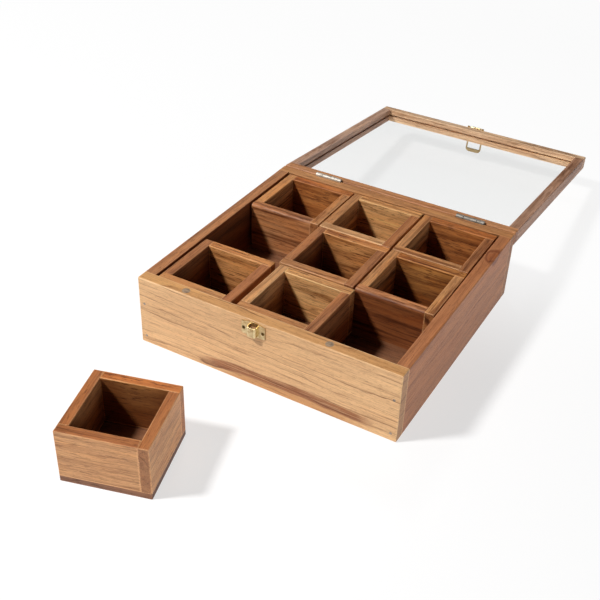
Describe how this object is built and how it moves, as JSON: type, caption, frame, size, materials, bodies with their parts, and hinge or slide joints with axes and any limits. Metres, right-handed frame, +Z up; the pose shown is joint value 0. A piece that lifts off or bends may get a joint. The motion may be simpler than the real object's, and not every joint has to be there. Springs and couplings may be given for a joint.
{
  "type": "wooden spice box",
  "caption": "Square wooden box with a hinged glass lid, a brass bail latch and loose square cups that stand in bays or beside the box.",
  "frame": {"origin": "on the table, under the middle of the front board", "axes": "+Z up, +X to the right along the front, +Y from the front board towards the hinges and the opened lid"},
  "size_m": [0.23, 0.6109, 0.0647],
  "materials": {
    "honey_wood": "oiled",
    "tan_wood": "oiled",
    "light_wood": "oiled",
    "pale_wood": "oiled",
    "brown_wood": "oiled",
    "red_wood": "oiled",
    "mauve_wood": "oiled",
    "orange_wood": "oiled",
    "dark_wood": "oiled",
    "steel_nails": "satin",
    "bright_brass": "polished",
    "clear_glass": "clear"
  },
  "bodies": {
    "box": {"box_front_board": "honey_wood", "box_back_board": "tan_wood", "box_left_board": "red_wood", "box_right_board": "brown_wood", "box_base_panel": "brown_wood", "board_pins": "steel_nails", "rim_discs": "steel_nails", "box_hinge_leaves": "bright_brass", "box_screws": "bright_brass", "latch_catch": "bright_brass"},
    "lid": {"lid_front_rail": "light_wood", "lid_back_rail": "brown_wood", "lid_left_stile": "brown_wood", "lid_right_stile": "brown_wood", "lid_glass": "clear_glass", "lid_hinge_leaves": "bright_brass", "hinge_pins": "steel_nails", "lid_screws": "bright_brass", "latch_plate": "bright_brass"},
    "bail": {"latch_bail": "bright_brass"},
    "front_left_cup": {"front_left_cup_front_wall": "tan_wood", "front_left_cup_right_wall": "red_wood", "front_left_cup_back_wall": "tan_wood", "front_left_cup_left_wall": "red_wood", "front_left_cup_base": "dark_wood"},
    "front_middle_cup": {"front_middle_cup_front_wall": "light_wood", "front_middle_cup_right_wall": "brown_wood", "front_middle_cup_back_wall": "light_wood", "front_middle_cup_left_wall": "light_wood", "front_middle_cup_base": "dark_wood"},
    "centre_cup": {"centre_cup_front_wall": "tan_wood", "centre_cup_right_wall": "brown_wood", "centre_cup_back_wall": "tan_wood", "centre_cup_left_wall": "brown_wood", "centre_cup_base": "dark_wood"},
    "middle_right_cup": {"middle_right_cup_front_wall": "red_wood", "middle_right_cup_right_wall": "tan_wood", "middle_right_cup_back_wall": "orange_wood", "middle_right_cup_left_wall": "brown_wood", "middle_right_cup_base": "dark_wood"},
    "back_left_cup": {"back_left_cup_front_wall": "light_wood", "back_left_cup_right_wall": "mauve_wood", "back_left_cup_back_wall": "orange_wood", "back_left_cup_left_wall": "mauve_wood", "back_left_cup_base": "dark_wood"},
    "back_middle_cup": {"back_middle_cup_front_wall": "tan_wood", "back_middle_cup_right_wall": "mauve_wood", "back_middle_cup_back_wall": "pale_wood", "back_middle_cup_left_wall": "brown_wood", "back_middle_cup_base": "dark_wood"},
    "back_right_cup": {"back_right_cup_front_wall": "tan_wood", "back_right_cup_right_wall": "mauve_wood", "back_right_cup_back_wall": "tan_wood", "back_right_cup_left_wall": "light_wood", "back_right_cup_base": "dark_wood"},
    "outside_cup": {"outside_cup_front_wall": "honey_wood", "outside_cup_right_wall": "honey_wood", "outside_cup_back_wall": "tan_wood", "outside_cup_left_wall": "tan_wood", "outside_cup_base": "dark_wood"}
  },
  "joints": [
    {"name": "lid_hinge", "type": "hinge", "parent": "box", "child": "lid", "pos_m": [0, 0.2217, 0.06265], "axis": [-1, 0, 0], "range_deg": [-185.8, 0]},
    {"name": "bail_swing", "type": "hinge", "parent": "lid", "child": "bail", "pos_m": [-0.0074, 0.44857, 0.03403], "axis": [-1, 0, 0], "range_deg": [-166.66, 12]},
    {"name": "front_left_cup_lift", "type": "slide", "parent": "box", "child": "front_left_cup", "axis": [0, 0, 1], "range_m": [0, 0.05]},
    {"name": "front_middle_cup_lift", "type": "slide", "parent": "box", "child": "front_middle_cup", "axis": [0, 0, 1], "range_m": [0, 0.05]},
    {"name": "centre_cup_lift", "type": "slide", "parent": "box", "child": "centre_cup", "axis": [0, 0, 1], "range_m": [0, 0.05]},
    {"name": "middle_right_cup_lift", "type": "slide", "parent": "box", "child": "middle_right_cup", "axis": [0, 0, 1], "range_m": [0, 0.05]},
    {"name": "back_left_cup_lift", "type": "slide", "parent": "box", "child": "back_left_cup", "axis": [0, 0, 1], "range_m": [0, 0.05]},
    {"name": "back_middle_cup_lift", "type": "slide", "parent": "box", "child": "back_middle_cup", "axis": [0, 0, 1], "range_m": [0, 0.05]},
    {"name": "back_right_cup_lift", "type": "slide", "parent": "box", "child": "back_right_cup", "axis": [0, 0, 1], "range_m": [0, 0.05]},
    {"name": "outside_cup_lift", "type": "slide", "parent": "box", "child": "outside_cup", "axis": [0, 0, 1], "range_m": [0, 0.05]}
  ]
}
